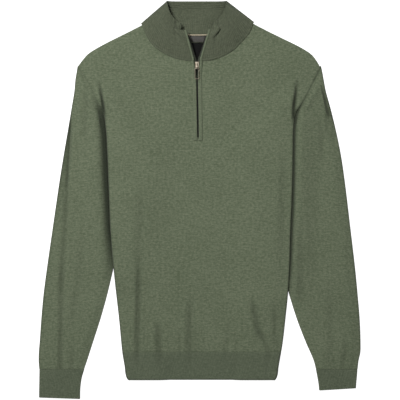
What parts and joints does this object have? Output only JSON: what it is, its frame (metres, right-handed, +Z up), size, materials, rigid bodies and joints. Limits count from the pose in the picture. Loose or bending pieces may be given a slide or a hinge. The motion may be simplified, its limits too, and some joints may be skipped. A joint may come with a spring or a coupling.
{
  "type": "quarter zip sweater",
  "caption": "Fine-knit long-sleeved pullover with a stand collar and a short front zip, laid on its back with its sides and underarms tucked under.",
  "frame": {"origin": "middle of the garment's box, on the plane it rests on", "axes": "+Z up out of the front panel; +Y from the hem to the collar; +X towards the right side of the view from above"},
  "size_m": [0.6442, 0.796, 0.0276],
  "materials": {
    "knit": "heathered fine jersey knit, matte",
    "rib": "fine rib knit, matte",
    "satin": "grey woven neck tape, slight sheen",
    "piping": "ivory cotton piping",
    "label": "black woven label, bare",
    "tape": "dark woven zip tape",
    "metal": "antique nickel, worn bright on its edges"
  },
  "bodies": {
    "garment": {"front_panel": "knit", "back_panel": "knit", "sleeve_left": "knit", "sleeve_right": "knit", "cuff_left": "rib", "cuff_right": "rib", "hem_band": "rib", "collar": "rib", "neck_piping": "piping", "neck_tape": "satin", "neck_label": "label", "zip_welt_left": "knit", "zip_welt_right": "knit", "zip_tape_left": "tape", "zip_tape_right": "tape", "zip_slider": "metal"},
    "pull": {"zip_pull": "metal"}
  },
  "joints": [
    {"name": "pull_hinge", "type": "hinge", "parent": "garment", "child": "pull", "pos_m": [-0.00532, 0.26298, 0.0146], "axis": [-1, 0, 0], "range_deg": [0, 150]}
  ]
}
